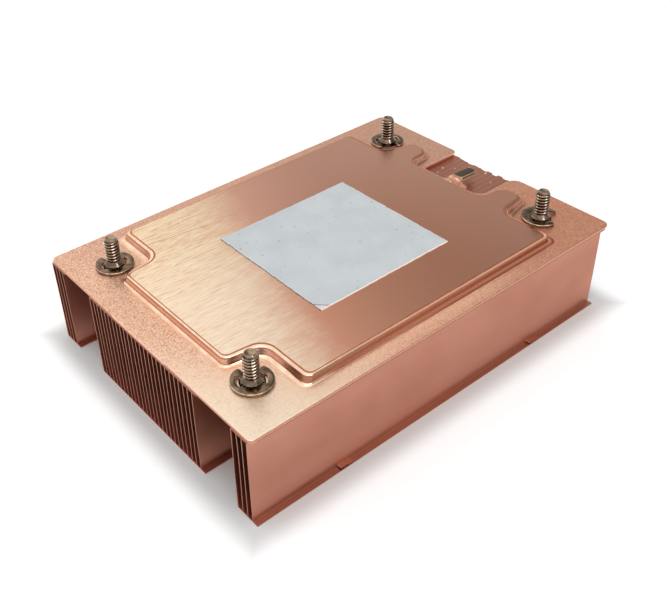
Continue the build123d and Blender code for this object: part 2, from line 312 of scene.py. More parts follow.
def lip_copper_painted_highlight():
    """The field's rounded lips: pale as painted highlight, palest on the left and along the front, where
    they are half metallic, and browner to the right and low in front as painted shade.
    """
    finish = Finish("lip_copper_painted_highlight")
    ripple, fine = finish.grain(1.8), finish.grain(0.3)
    pale = finish.mottle(ripple, tone(240, 196, 166), tone(252, 222, 194))
    brown = finish.mottle(ripple, tone(206, 152, 126), tone(218, 166, 140))
    # Painted highlight on the left, painted shade browning to the right.
    base = finish.mix(finish.ramp(finish.x + 0.01 * ripple, -0.03, 0.005), pale, brown)
    front_side = finish.fade(finish.y, -0.033, -0.03)
    front = front_side * finish.ramp(finish.x, -0.034, -0.01)
    low = finish.fade(finish.z, (DECK + 0.5) * MM, (DECK + 0.7) * MM)
    low = low * front_side * finish.ramp(finish.x, -0.035, -0.029)
    # Painted highlight along the front, painted shade low at the front.
    base = finish.mix(front, base, tone(255, 184, 152))
    base = finish.mix(low, base, tone(206, 130, 102))
    normal = finish.bump(ripple * 0.8 + fine * 0.2, 0.03, 0.5)
    return finish.copper(base, finish.by_grain(fine, 0.18, 0.26), normal, 1.0 - 0.5 * front)


def foot_ring_painted_light():
    """The ring round the field's foot: pale on the left as painted highlight, darker to the right and dark
    along the front as painted shade.
    """
    finish = Finish("foot_ring_painted_light")
    ripple, fine = finish.grain(1.8), finish.grain(0.3)
    base = finish.mottle(ripple, tone(234, 190, 162), tone(244, 208, 180))
    # Painted shade: darker to the right, and dark along the front.
    base = finish.mix(finish.ramp(finish.x, -0.02, 0.01), base, tone(226, 168, 142))
    front = finish.fade(finish.y, -0.035, -0.032) * finish.ramp(finish.x, -0.02, 0.01)
    base = finish.mix(front, base, tone(192, 114, 84))
    normal = finish.bump(ripple * 0.6 + fine * 0.4, 0.03, 0.5)
    return finish.copper(base, finish.by_grain(fine, 0.3, 0.38), normal)


def top_edge_painted_shade():
    """The thin dark line where the top's lapping stops: painted shade in the slight crease, paler toward
    the back right as painted light.
    """
    finish = Finish("top_edge_painted_shade")
    broken = finish.grain(1.3, 3.0)
    base = finish.mix(finish.ramp(broken, 0.35, 0.6), tone(166, 104, 74), tone(186, 120, 88))
    # Painted light pales the line toward the back right.
    away = finish.ramp(finish.x + finish.y, -0.02, 0.02)
    base = finish.mix(away * 0.6, base, tone(220, 150, 120))
    return finish.copper(base, finish.by_grain(broken, 0.3, 0.42), finish.bump(broken, 0.01, 0.4))


def blanked_copper():
    """The cut edges of the sheets: fine marks across the thickness, and paler and half metallic in the
    notch as painted light.
    """
    finish = Finish("blanked_copper")
    draw = finish.grain(0.5, along=(1.0, 1.0, 8.0))
    base = finish.mottle(draw, tone(196, 138, 114), tone(212, 156, 132))
    # Painted light: paler and half metallic in the notch.
    in_notch = finish.fade(finish.size_of(finish.y), 0.0103, 0.011)
    base = finish.mix(in_notch, base, tone(240, 186, 160))
    normal = finish.bump(draw, 0.008, 0.5)
    return finish.coat(base, finish.by_grain(draw, 0.3, 0.4), normal, 1.0 - 0.5 * in_notch)


def fin_copper():
    """The fins: satin rolled sheet with faint rolling lines and soft clouds. Painted light sets the tone by
    height, paler low down, and makes the front flange greyer and darker toward its left.
    """
    finish = Finish("fin_copper")
    roll = finish.grain(0.6, 1.0, along=(50.0, 1.0, 1.0))
    cloud = finish.grain(16.0)
    fine = finish.grain(0.12)
    height = finish.z
    # Painted light: the tone changes with height, paler low down.
    base = finish.mix(finish.ramp(height, 0.002, 0.011), tone(214, 151, 131), tone(182, 126, 107))
    base = finish.mix(finish.ramp(height, 0.016, 0.023), base, tone(188, 134, 114))
    base = finish.mix(finish.by_grain(cloud) * 0.3, base, tone(214, 158, 142))
    base = finish.mix(finish.ramp(roll, 0.4, 0.7, 0.0, 0.07), base, tone(172, 114, 92))
    # Painted light on the front flange: greyer, and darker toward the left.
    low_front = finish.fade(height, 0.001, 0.002)
    low_front = low_front * finish.fade(finish.y, -0.0388, -0.0383)
    from_left = finish.ramp(finish.x, -0.045, -0.01)
    base = finish.mix(low_front, base, finish.mix(from_left, tone(174, 128, 110), tone(202, 150, 130)))
    normal = finish.bump(fine * 0.7 + roll * 0.3, 0.003, 0.5)
    return finish.copper(base, finish.by_grain(fine, 0.34, 0.4), normal)


def crease_crest_painted_glint():
    """The crest of the pressed crease, pale as a painted glint."""
    finish = Finish("crease_crest_painted_glint")
    crest_grain = finish.grain(0.8)
    base = finish.mottle(crest_grain, tone(255, 200, 162), tone(255, 216, 184))
    return finish.coat(base, finish.by_grain(crest_grain, 0.3, 0.4), finish.bump(crest_grain, 0.01, 0.4), 0.1)


def zinc_dark_steel(name, light, dark, smooth):
    """Plated steel of the fasteners: brown grey, a little blotched, brighter where it is rubbed."""
    finish = Finish(name)
    blotch = finish.grain(1.4, 3.0)
    fine = finish.grain(0.25)
    base = finish.mix(finish.ramp(blotch, 0.35, 0.7), dark, light)
    base = finish.mix(finish.ramp(fine, 0.62, 0.8, 0.0, 0.3), base, tone(214, 200, 182))
    normal = finish.bump(fine * 0.3 + blotch * 0.7, 0.008, 0.4)
    return finish.coat(base, finish.by_grain(blotch, smooth, smooth + 0.08), normal)


def tube_copper():
    """The fill tube: drawn copper, scorched nearly black on its pinched end's flat, and nearly black along
    the seam as painted shade.
    """
    finish = Finish("tube_copper")
    draw = finish.grain(0.2, along=(10.0, 1.0, 1.0))
    pinched_end = finish.ramp(finish.x + draw * 0.0004, (NOTCH_X + 0.4) * MM, (NOTCH_X + 0.8) * MM)
    height = finish.z + draw * 0.0001 - (TUBE_Z + FLAT_RISE) * MM
    topside = finish.ramp(height, 0.0006, 0.0007)
    # Painted shade: the seam in the crimp is drawn nearly black.
    seam = finish.fade(finish.size_of(height - 0.0001), 0.00016, 0.00026)
    base = finish.mottle(draw, tone(196, 168, 144), tone(226, 204, 182))
    base = finish.mix(pinched_end * (topside + seam), base, tone(74, 62, 48))
    return finish.coat(base, 0.34 + 0.1 * draw, finish.bump(draw, 0.02, 0.6), 1.0 - 0.6 * pinched_end)


def solder():
    """Solder and torn copper round the neck: lumpy, matt, pale orange."""
    finish = Finish("solder")
    lump = finish.grain(0.7, 3.0)
    fine = finish.grain(0.2)
    base = finish.mix(finish.ramp(lump, 0.35, 0.65), tone(232, 168, 136), tone(250, 202, 172))
    normal = finish.bump(lump * 0.7 + fine * 0.3, 0.04, 0.6)
    return finish.coat(base, 0.3 + 0.2 * finish.by_grain(fine), normal)


def pad_silicone():
    """The thermal pad: matt cool grey, a little mottled and specked, with a torn whitish corner edged by a
    dark line of painted shade.
    """
    finish = Finish("pad_silicone")
    cloud = finish.grain(7.0, 3.0)
    fine = finish.grain(0.25)
    speck = finish.ramp(finish.grain(1.1, 0.0), 0.77, 0.81)
    base = finish.mottle(cloud, tone(189, 194, 197), tone(197, 202, 204))
    base = finish.mix(finish.by_grain(fine) * 0.25, base, tone(185, 190, 193))
    base = finish.mix(speck * 0.5, base, tone(134, 138, 140))
    from_corner = (finish.x - pad_low.x * MM) + (finish.y - pad_low.y * MM) + 0.0012 * cloud
    torn = finish.fade(from_corner, 0.0032, 0.0037)
    # Painted shade: a dark line where the torn corner meets the rest.
    tear_shade = torn * finish.ramp(from_corner, 0.0028, 0.0032)
    base = finish.mix(torn * 0.7, base, tone(222, 214, 216))
    base = finish.mix(tear_shade, base, tone(104, 112, 104))
    return finish.coat(base, 0.62 + 0.16 * fine, finish.bump(fine * 0.8 + cloud * 0.2, 0.03, 0.5), 0.0)


def pad_edge(name, size, dark, light, depth, smooth):
    """The pad's cut edge, as a dark greenish grey copy that is painted shade and a pale copy that is
    painted highlight, mottled by a grain.
    """
    finish = Finish(name)
    edge_grain = finish.grain(size, 3.0)
    base = finish.mix(finish.ramp(edge_grain, 0.3, 0.6), dark, light)
    return finish.coat(base, smooth + 0.2 * edge_grain, finish.bump(edge_grain, depth, 0.6), 0.0)


def sintered_copper():
    """The wicks and posts inside: sintered copper powder."""
    finish = Finish("sintered_copper")
    powder = finish.grain(0.2, 3.0)
    base = finish.mix(finish.ramp(powder, 0.35, 0.65), tone(150, 84, 60), tone(206, 132, 98))
    return finish.coat(base, 0.7 + 0.15 * powder, finish.bump(powder, 0.1, 0.9), 0.8)


PRESSED = pressed_copper()
BRUSHED = brushed_copper()
DRAWN = drawn_copper()
LIP_PAINTED_HIGHLIGHT = lip_copper_painted_highlight()
FOOT_RING_PAINTED_LIGHT = foot_ring_painted_light()
TOP_EDGE_SHADE = top_edge_painted_shade()
BLANKED = blanked_copper()
FIN = fin_copper()
CREASE_GLINT = crease_crest_painted_glint()
SCREW_STEEL = zinc_dark_steel("screw_steel", tone(146, 126, 108), tone(102, 86, 71), 0.16)
# Lit and shaded copies of the screw steel for the thread: paler crests as painted highlight, a near white
# painted glint on strips of them, and dark roots as painted shade.
THREAD_CREST = zinc_dark_steel("thread_crest", tone(172, 150, 126), tone(128, 108, 88), 0.16)
THREAD_PAINTED_GLINT = zinc_dark_steel("thread_painted_glint", tone(255, 250, 242), tone(244, 230, 214), 0.12)
THREAD_ROOT = zinc_dark_steel("thread_root", tone(78, 62, 50), tone(44, 34, 27), 0.3)
CLIP_STEEL = zinc_dark_steel("clip_steel", tone(146, 120, 96), tone(104, 84, 66), 0.18)
# Clip edges and reliefs take a paler copy as painted highlight.
CLIP_PAINTED_HIGHLIGHT = zinc_dark_steel("clip_painted_highlight", tone(228, 206, 186), tone(186, 162, 142), 0.2)
SPRING_STEEL = zinc_dark_steel("spring_steel", tone(196, 190, 180), tone(150, 142, 130), 0.22)
TUBE = tube_copper()
SOLDER = solder()
PAD = pad_silicone()
# The pad's edges: a dark copy as painted shade and a pale copy as painted highlight.
PAD_EDGE_SHADE = pad_edge("pad_edge_painted_shade", 0.8, tone(70, 74, 62), tone(142, 148, 138), 0.05, 0.7)
PAD_EDGE_HIGHLIGHT = pad_edge("pad_edge_painted_highlight", 0.5, tone(234, 228, 221), tone(250, 245, 240), 0.04, 0.6)
SINTERED = sintered_copper()


# Laying out surfaces


class Shell:
    """A surface laid out in millimetres, row by row, with a finish for each face."""

    def __init__(self):
        self.points = []
        self.faces = []
        self.skins = []

    def row(self, points):
        """Add a row of points and give their numbers."""
        start = len(self.points)
        self.points += [tuple(point) for point in points]
        return list(range(start, len(self.points)))

    def face(self, corners, skin=0):
        self.faces.append(tuple(corners))
        self.skins.append(skin)

    def strip(self, first, second, closed=True, skin=0):
        """Join two rows of equal length with four-sided faces."""
        count = len(first)
        for k in range(count if closed else count - 1):
            n = (k + 1) % count
            self.face((first[k], first[n], second[n], second[k]), skin)

    def join(self, rows, closed=True, skin=0):
        """Join each row to the next one."""
        for first, second in zip(rows, rows[1:]):
            self.strip(first, second, closed, skin)

    def sheet(self, edge, holes, up=True, skin=0):
        """Fill a level region between an edge and its holes, all given as rows of this shell."""
        rows = [edge, *holes]
        flat = [Vector(self.points[n][:2]) for row in rows for n in row]
        numbers = [n for row in rows for n in row]
        links = []
        start = 0
        for row in rows:
            links += [(start + k, start + (k + 1) % len(row)) for k in range(len(row))]
            start += len(row)
        _, _, triangles, _, _, _ = delaunay_2d_cdt(flat, links, [], 0, 1e-6)
        loops = [[Vector(self.points[n][:2]) for n in row] for row in rows]
        for triangle in triangles:
            middle = sum((flat[k] for k in triangle), Vector((0, 0))) / 3
            if within(middle, loops[0]) and not any(within(middle, loop) for loop in loops[1:]):
                corners = [numbers[k] for k in triangle]
                self.face(corners if up else corners[::-1], skin)

    def make(self, name, finishes, crease=40.0, replaces=(), body="cooler"):
        """Turn the shell into a piece that rides on a body and takes its finish from a slot."""
        mesh = bpy.data.meshes.new(name)
        mesh.from_pydata([Vector(point) * MM for point in self.points], [], self.faces)
        for finish in finishes:
            mesh.materials.append(finish)
        mesh.polygons.foreach_set("material_index", self.skins)
        mesh.validate()
        mesh.shade_smooth()
        mesh.set_sharp_from_angle(angle=math.radians(crease))
        piece = show(name, mesh)
        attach(piece, body)
        if replaces:
            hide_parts(*replaces)
        return piece


def show(name, data):
    """Put something made into the scene."""
    thing = bpy.data.objects.new(name, data)
    bpy.context.scene.collection.objects.link(thing)
    return thing


def within(point, loop):
    """Say whether a point lies inside a closed loop."""
    inside = False
    for k, here in enumerate(loop):
        before = loop[k - 1]
        if (here.y > point.y) != (before.y > point.y):
            crossing = here.x + (point.y - here.y) * (before.x - here.x) / (before.y - here.y)
            if point.x < crossing:
                inside = not inside
    return inside


def outline(corners, outward=0.0, steps=CORNER_STEPS):
    """Walk anticlockwise round rounded corners, each x, y and radius, so far outside their line."""
    points = []
    for k, (x, y, radius) in enumerate(corners):
        before = corners[k - 1]
        after = corners[(k + 1) % len(corners)]
        coming = Vector((x - before[0], y - before[1])).normalized()
        going = Vector((after[0] - x, after[1] - y)).normalized()
        bend = math.atan2(coming.cross(going), coming.dot(going))
        side = math.copysign(1, bend)
        reach = radius + side * outward
        aside = Vector((coming.y + going.y, -coming.x - going.x)) / (1 + coming.dot(going))
        start = Vector((x, y)) + outward * aside - coming * reach * math.tan(abs(bend) / 2)
        centre = start + side * reach * Vector((-coming.y, coming.x))
        for step in range(steps + 1):
            turn = bend * step / steps
            spoke = start - centre
            spoke.rotate(Matrix.Rotation(turn, 2))
            points.append(centre + spoke)
    return points


def raised(points, z):
    """Lift flat points to a level."""
    return [(point[0], point[1], z) for point in points]


def turns_of(steps):
    """List the turns of equal steps round a circle."""
    return [math.tau * step / steps for step in range(steps)]


def around(centre, radius, turn, z):
    """Give the point at a turn round an upright axis."""
    return (centre.x + radius * math.cos(turn), centre.y + radius * math.sin(turn), z)


def circle(centre, radius, z, steps=HOLE_STEPS):
    """Walk anticlockwise round a level circle."""
    return [around(centre, radius, turn, z) for turn in turns_of(steps)]


def held(value):
    """Hold a value between 0 and 1."""
    return min(1.0, max(0.0, value))


def eased(value):
    """Go smoothly from 0 to 1 with a value."""
    share = held(value)
    return share * share * (3 - 2 * share)


PLATE = [
    (-HALF_LENGTH, -HALF_WIDTH, FRONT_LEFT_CORNER),
    (HALF_LENGTH, -HALF_WIDTH, PLATE_CORNER),
    (HALF_LENGTH, -NOTCH_HALF_WIDTH, LIP_FRONT_CORNER),
    (NOTCH_X, -NOTCH_HALF_WIDTH, NOTCH_FRONT_CORNER),
    (NOTCH_X, TUBE_Y - TAB_HALF_WIDTH, TAB_CORNER),
    (NOTCH_X + TAB_REACH, TUBE_Y - TAB_HALF_WIDTH, TAB_CORNER),
    (NOTCH_X + TAB_REACH, TUBE_Y + TAB_HALF_WIDTH, TAB_CORNER),
    (NOTCH_X, TUBE_Y + TAB_HALF_WIDTH, TAB_CORNER),
    (NOTCH_X, NOTCH_HALF_WIDTH, NOTCH_BACK_CORNER),
    (HALF_LENGTH, NOTCH_HALF_WIDTH, LIP_BACK_CORNER),
    (HALF_LENGTH, HALF_WIDTH, PLATE_CORNER),
    (-HALF_LENGTH, HALF_WIDTH, PLATE_CORNER),
]


def field_corners(spread, pocket_x, pocket_mouth, pocket_floor, corner, pocket, bay):
    """List the field's corners anticlockwise, with its pockets measured from its middle and the screws."""
    left = FIELD_LEFT - spread
    right = FIELD_RIGHT + spread
    side = FIELD_SIDE + spread

    def quarter(x_side, y_side):
        end = right if x_side > 0 else left
        wall = FIELD_MIDDLE + x_side * pocket_x
        return [
            (end, y_side * (SCREW_Y - pocket_mouth), corner),
            (wall, y_side * (SCREW_Y - pocket_floor), pocket),
            (wall, y_side * side, corner),
        ]

    bay_x = BAY_X + spread
    bay_y = BAY_Y - spread
    return [
        *quarter(-1, -1),
        *quarter(1, -1)[::-1],
        (right, -bay_y, 2 * corner),
        (bay_x, -bay_y, bay),
        (bay_x, bay_y, bay),
        (right, bay_y, 2 * corner),
        *quarter(1, 1),
        *quarter(-1, 1)[::-1],
    ]


FLAT_TOP = field_corners(
    spread=0.0, pocket_x=36.9, pocket_mouth=7.9, pocket_floor=6.7, corner=1.5, pocket=4.0, bay=3.8)
FOOT = field_corners(
    spread=FOOT_SPREAD, pocket_x=39.0, pocket_mouth=6.6, pocket_floor=4.5, corner=1.9, pocket=2.8, bay=2.5)

# The finishes of the two sheets, by where they show
RIM, TOP, WALL, EDGE, LINE, LIP, FOOT_RING = range(7)
PLATE_FINISHES = [PRESSED, BRUSHED, DRAWN, BLANKED, TOP_EDGE_SHADE, LIP_PAINTED_HIGHLIGHT, FOOT_RING_PAINTED_LIGHT]

# The S-shaped wall of the field: the share of the way out to its foot, the drop, and the finish above
WALL_PROFILE = [
    (-0.2, 0.0, TOP),
    (-0.17, 0.0, TOP),
    (0.03, 0.05, LINE),
    (0.14, 0.07, LIP),
    (0.26, 0.13, LIP),
    (0.34, 0.24, LIP),
    (0.41, 0.4, WALL),
    (0.47, 0.64, WALL),
    (0.5, 1.0, WALL),
    (0.54, 1.38, WALL),
    (0.61, 1.66, WALL),
    (0.7, 1.82, LIP),
    (0.84, 1.95, LIP),
    (1.0, 2.0, LIP),
    (1.3, 2.0, FOOT_RING),
    (1.33, 2.0, RIM),
]
FIELD_DROP = WALL_PROFILE[-1][1]
UPPER_ROUND = 0.3
LOWER_ROUND = 0.12
ROUND_STEPS = 5
# A narrow level strip inside the rounded edge keeps the rim's shading level
SUPPORT = 0.03
BASE_INSET = 0.3
HOLLOW_INSET = 0.3


def edge_rows(shell, low, high, upper_round, inset=0.0):
    """Lay the rounded cut edge of a sheet, from its upper face to its lower one."""
    def row(inward, z):
        return shell.row(raised(outline(PLATE, -inset - inward), z))

    rows = [row(upper_round + SUPPORT, high)]
    for step in range(ROUND_STEPS + 1):
        turn = math.pi / 2 * step / ROUND_STEPS
        rows.append(row(upper_round * (1 - math.sin(turn)), high - upper_round * (1 - math.cos(turn))))
    rows.append(row(0.0, low + LOWER_ROUND))
    rows.append(row(LOWER_ROUND, low))
    skins = [RIM, RIM, RIM] + [EDGE] * (len(rows) - 4)
    for above, below, skin in zip(rows, rows[1:], skins):
        shell.strip(below, above, skin=skin)
    return rows[0], rows[-1]


def screw_holes(shell, level):
    """Lay the rims of the four screw holes at a level."""
    return [shell.row(circle(screw, SHANK_HOLE, level)) for screw in SCREWS.values()]


def line_holes(shell, upper, lower):
    """Lay the walls of the screw holes."""
    for above, below in zip(upper, lower):
        shell.strip(above, below, skin=EDGE)


def press_cover():
    """The stamped upper sheet, hollow underneath."""
    shell = Shell()
    rim_edge, under_edge = edge_rows(shell, SEAM, DECK, UPPER_ROUND)
    flat, foot = outline(FLAT_TOP), outline(FOOT)
    rows = []
    for share, drop, _ in WALL_PROFILE:
        points = [inner.lerp(outer, share) for inner, outer in zip(flat, foot)]
        rows.append(shell.row(raised(points, FIELD_TOP - drop * (FIELD_TOP - DECK) / FIELD_DROP)))
    for above, below, (_, _, skin) in zip(rows, rows[1:], WALL_PROFILE[1:]):
        shell.strip(below, above, skin=skin)
    shell.sheet(rows[0], [], skin=TOP)
    upper_holes = screw_holes(shell, DECK)
    shell.sheet(rim_edge, [rows[-1], *upper_holes], skin=RIM)
    lower_holes = screw_holes(shell, SEAM)
    line_holes(shell, upper_holes, lower_holes)
    hollow = outline(FLAT_TOP, -HOLLOW_INSET)
    hollow_foot = shell.row(raised(hollow, SEAM))
    hollow_top = shell.row(raised(hollow, FIELD_TOP - COVER_SHEET))
    shell.strip(hollow_top, hollow_foot, skin=RIM)
    shell.sheet(hollow_top, [], up=False, skin=RIM)
    shell.sheet(under_edge, [hollow_foot, *lower_holes], up=False, skin=RIM)
    shell.make("cover_sheet", PLATE_FINISHES, replaces=["chamber_cover"])


def cut_base():
    """The flat lower sheet, on which the fins are soldered."""
    shell = Shell()
    upper, lower = edge_rows(shell, UNDERSIDE, SEAM, LOWER_ROUND, BASE_INSET)
    upper_holes = screw_holes(shell, SEAM)
    lower_holes = screw_holes(shell, UNDERSIDE)
    line_holes(shell, upper_holes, lower_holes)
    shell.sheet(upper, upper_holes, skin=RIM)
    shell.sheet(lower, lower_holes, up=False, skin=RIM)
    shell.make("base_sheet", PLATE_FINISHES, replaces=["chamber_base"])


press_cover()
cut_base()

# The fins: folded sheets with round bends, a little wavy at their ends
FIN_SHEET = 0.24
FIN_BEND = 0.26
FIN_INNER_BEND = FIN_BEND - FIN_SHEET
FIN_LAP = 0.12
BEND_STEPS = 4
WALL_STEPS = 6
END_STATIONS = (0.0, 0.6, 1.8, 4.0, 8.0)
END_WAVE = 0.2
END_WAVE_REACH = 3.0
END_TRIM = 1.0
WAVE_PEAKS = (0.35, 0.65)


def fin_section(face, tip, height):
    """List a fin's section as y and z: out along the outer side of the fold, back along the inner one."""
    outer = [(tip - FIN_LAP, height)]
    inner = [(tip - FIN_LAP, height - FIN_SHEET)]
    middles = [(height - FIN_BEND, math.pi / 2), (FIN_BEND, 0.0)]
    for centre, start in middles:
        for step in range(BEND_STEPS + 1):
            turn = start - math.pi / 2 * step / BEND_STEPS
            for side, bend in ((outer, FIN_BEND), (inner, FIN_INNER_BEND)):
                y = face - FIN_BEND + bend * math.cos(turn)
                side.append((y, centre + bend * math.sin(turn)))
        if start:
            for step in range(1, WALL_STEPS):
                z = height - FIN_BEND - (height - 2 * FIN_BEND) * step / WALL_STEPS
                outer.append((face, z))
                inner.append((face - FIN_SHEET, z))
    outer.append((tip, 0.0))
    inner.append((tip, FIN_SHEET))
    return outer + inner[::-1]


def tucked(x, y, face):
    """Keep a point of the front fin's upper flange under the plate's rounded corner."""
    into = max(0.0, PLATE_CORNER - (HALF_LENGTH - abs(x)))
    bite = PLATE_CORNER - math.sqrt(PLATE_CORNER ** 2 - into ** 2)
    return max(y, min(BASE_INSET + bite - HALF_WIDTH, face - FIN_BEND))


def swell(share, peak):
    """Say how far a bow is out at a share of the height, from 0 at both ends to 1 at its peak."""
    if share < peak:
        return math.sin(math.pi / 2 * share / peak)
    return math.sin(math.pi / 2 * (1 - share) / (1 - peak))


def fold_fin(shell, face, tip, half_length, height, chance):
    """Lay one fin in a shell, with its ends a little out of true."""
    section = fin_section(face, tip, height)
    ends = (-half_length, half_length - END_TRIM * chance.random())
    stations = [ends[0] + step for step in END_STATIONS] + [ends[1] - step for step in END_STATIONS[::-1]]
    waves = [chance.uniform(-1, 1) * END_WAVE for _ in ends]
    peaks = [chance.uniform(*WAVE_PEAKS) for _ in ends]
    rows = []
    for x in stations:
        side = 0 if x < 0 else 1
        bow = waves[side] * math.exp(-abs(ends[side] - x) / END_WAVE_REACH)
        row = []
        for y, z in section:
            y = min(y + bow * swell(z / height, peaks[side]), HALF_WIDTH)
            row.append((x, tucked(x, y, face) if z > height - FIN_BEND else y, z))
        rows.append(shell.row(row))
    shell.join(rows[::-1])
    count = len(section)
    for row, flip in ((rows[0], False), (rows[-1], True)):
        for k in range(count // 2 - 1):
            corners = (row[k], row[k + 1], row[count - 2 - k], row[count - 1 - k])
            shell.face(corners[::-1] if flip else corners)


def stack_fins():
    """Make every fin, from the sizes of its CAD node. A group of short fins is one piece."""
    single = sorted(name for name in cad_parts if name.startswith("fin_"))
    first_low, first_high = corner_mm(single[0])
    pitch = first_high.y - first_low.y
    for name in [*single, "short_fins_back", "short_fins_front"]:
        low, high = corner_mm(name)
        chance = random.Random(name)
        shell = Shell()
        for k in range(round((high.y - low.y) / pitch)):
            face = high.y - k * pitch
            fold_fin(shell, face, face - pitch, high.x, high.z, chance)
        shell.make(f"folded_{name}", [FIN], replaces=[name])


stack_fins()

# The front fin's lower flange: a pressed crease, and the lugs that lock the fins to each other
FRONT_FACE = corner_mm("fin_01")[1].y
LUG_X = 31.0
LUG_WIDTH = 1.5
LUG_GAP = 0.3
LUG_SHEET = 0.16
LUG_STEPS = 6
LUG_SKEW = 0.12
LUG_BOW = math.pi * 0.62
LUG_LIFTS = (0.55, 0.3)
LUG_REACH = FRONT_FACE - FIN_BEND + HALF_WIDTH - 0.05
CREASE_LEVEL = FIN_SHEET - 0.02
CREASE_AWAY = 0.62
CREASE_ENDS = (1.0 - HALF_LENGTH, LUG_X - 2.0)
CREASE_RISE = 0.24
# The crease's section: the way to its front from its crest, and the share of its rise
CREASE_SECTION = ((-0.14, 0.0), (-0.03, 1.0), (0.03, 1.0), (0.42, 0.0))


def lock_fins():
    """Press the crease and bend up the lugs, in pairs."""
    shell = Shell()
    crest = FRONT_FACE - CREASE_AWAY
    # The crease's crest takes the painted glint.
    shell.join([
        shell.row([(x, crest - front, CREASE_LEVEL + CREASE_RISE * up) for front, up in CREASE_SECTION])
        for x in CREASE_ENDS
    ], closed=False, skin=1)
    for centre in (-LUG_X, LUG_X):
        for start, lift in zip((centre - LUG_GAP / 2 - LUG_WIDTH, centre + LUG_GAP / 2), LUG_LIFTS):
            sides = []
            for x, skew in ((start, 0.0), (start + LUG_WIDTH, LUG_SKEW)):
                over = []
                under = []
                for step in range(LUG_STEPS + 1):
                    out = step / LUG_STEPS
                    y = FRONT_FACE - FIN_BEND - LUG_REACH * out
                    z = FIN_SHEET + (lift + skew) * math.sin(LUG_BOW * out)
                    over.append((x, y, z + LUG_SHEET))
                    under.append((x, y, z))
                sides.append(shell.row(over + under[::-1]))
            shell.strip(sides[0], sides[1])
            # The lugs' ends take the painted glint too.
            shell.face(sides[0][::-1], skin=1)
            shell.face(sides[1], skin=1)
    shell.make("fin_lugs", [FIN, CREASE_GLINT], 50.0)


lock_fins()

# The screws
SCREW_STEPS = 48
THREAD_PITCH = 0.8
THREAD_DEPTH = 0.42
THREAD_RADIUS = 1.75
THREAD_ROWS = 12
THREAD_SLOPE = 3.2
ROOT_FLAT = 0.2
RUN_IN = 0.5
RUN_OUT = 0.9
ROOT_RADIUS = 1.52
CREST_RADIUS = 1.66
# The sides on which the thread's crests take a painted glint: the middle of each strip and its half width
GLINT_STRIPS = ((math.radians(-108), math.radians(14)), (math.radians(171), math.radians(9)))
SCREW_FINISHES = [SCREW_STEEL, THREAD_ROOT, THREAD_CREST, THREAD_PAINTED_GLINT]
PLAIN, ROOT, CREST, GLINT = range(4)
SHANK_RADIUS = 2.5
GROOVE_RADIUS = 2.0
GROOVE_BOTTOM = DECK - 0.05
HEAD_RADIUS = 4.3
HEAD_HEIGHT = 3.4
HEAD_BEVEL = 0.35
HEAD_BEVEL_MIDDLE = 0.1
HEAD_EDGE = 0.12
CLIP_THICKNESS = 0.7
screw_low, screw_high = corner_mm("screw_1")
HEAD_BOTTOM = screw_low.z
HEAD_TOP = HEAD_BOTTOM + HEAD_HEIGHT
TIP = screw_high.z
SKIRT_BOTTOM = DECK + CLIP_THICKNESS + 0.03
SKIRT_RADIUS = 2.45
SKIRT_TOP = DECK + 1.7
SKIRT_BLEND = 0.1
# The skirt's flare over the clip: how far in from its widest, and the height
SKIRT_FLARE = ((0.1, 0.0), (0.0, 0.08), (0.08, 0.18), (0.36, 0.42))
THREAD_TOP = TIP - 0.45
# The dished tip: the radius of each ring, and how deep it lies
TIP_DISH = ((1.32, 0.1), (1.2, 0.0), (1.0, 0.03), (0.8, 0.16), (0.3, 0.2))
RECESS_REACH = 2.3
RECESS_HALF_SLOT = 0.55
# The cross recess from its mouth to its floor: its share of the full size, and the depth
RECESS_STEPS = ((1.06, 0.0), (1.0, 0.12), (0.8, 2.0))


def thread_radius(turn, z):
    """Give the radius of the thread's surface at a turn and a level."""
    phase = (z / THREAD_PITCH - turn / math.tau) % 1.0
    ridge = held(THREAD_SLOPE * (0.5 - abs(phase - 0.5)) - ROOT_FLAT)
    fade = held(min((z - SKIRT_TOP + RUN_IN) / RUN_IN, (TIP - z) / RUN_OUT))
    return THREAD_RADIUS - THREAD_DEPTH * (1 - ridge * fade)


def thread_skin(x, y, z):
    """Give the finish of a face above the skirt: its place from the screw's axis, and its level."""
    radius = math.hypot(x, y)
    # The dished tip and the crests take painted highlight, strips of the crests a painted glint, and the
    # roots painted shade.
    if z > THREAD_TOP:
        return CREST
    if radius < ROOT_RADIUS:
        return ROOT
    if radius < CREST_RADIUS:
        return PLAIN
    turn = math.atan2(y, x)
    glinting = any(abs((turn - middle + math.pi) % math.tau - math.pi) < half for middle, half in GLINT_STRIPS)
    return GLINT if glinting else CREST


def middle_of(shell, number):
    """Give the middle of a shell's face."""
    corners = shell.faces[number]
    return sum((Vector(shell.points[corner]) for corner in corners), Vector()) / len(corners)


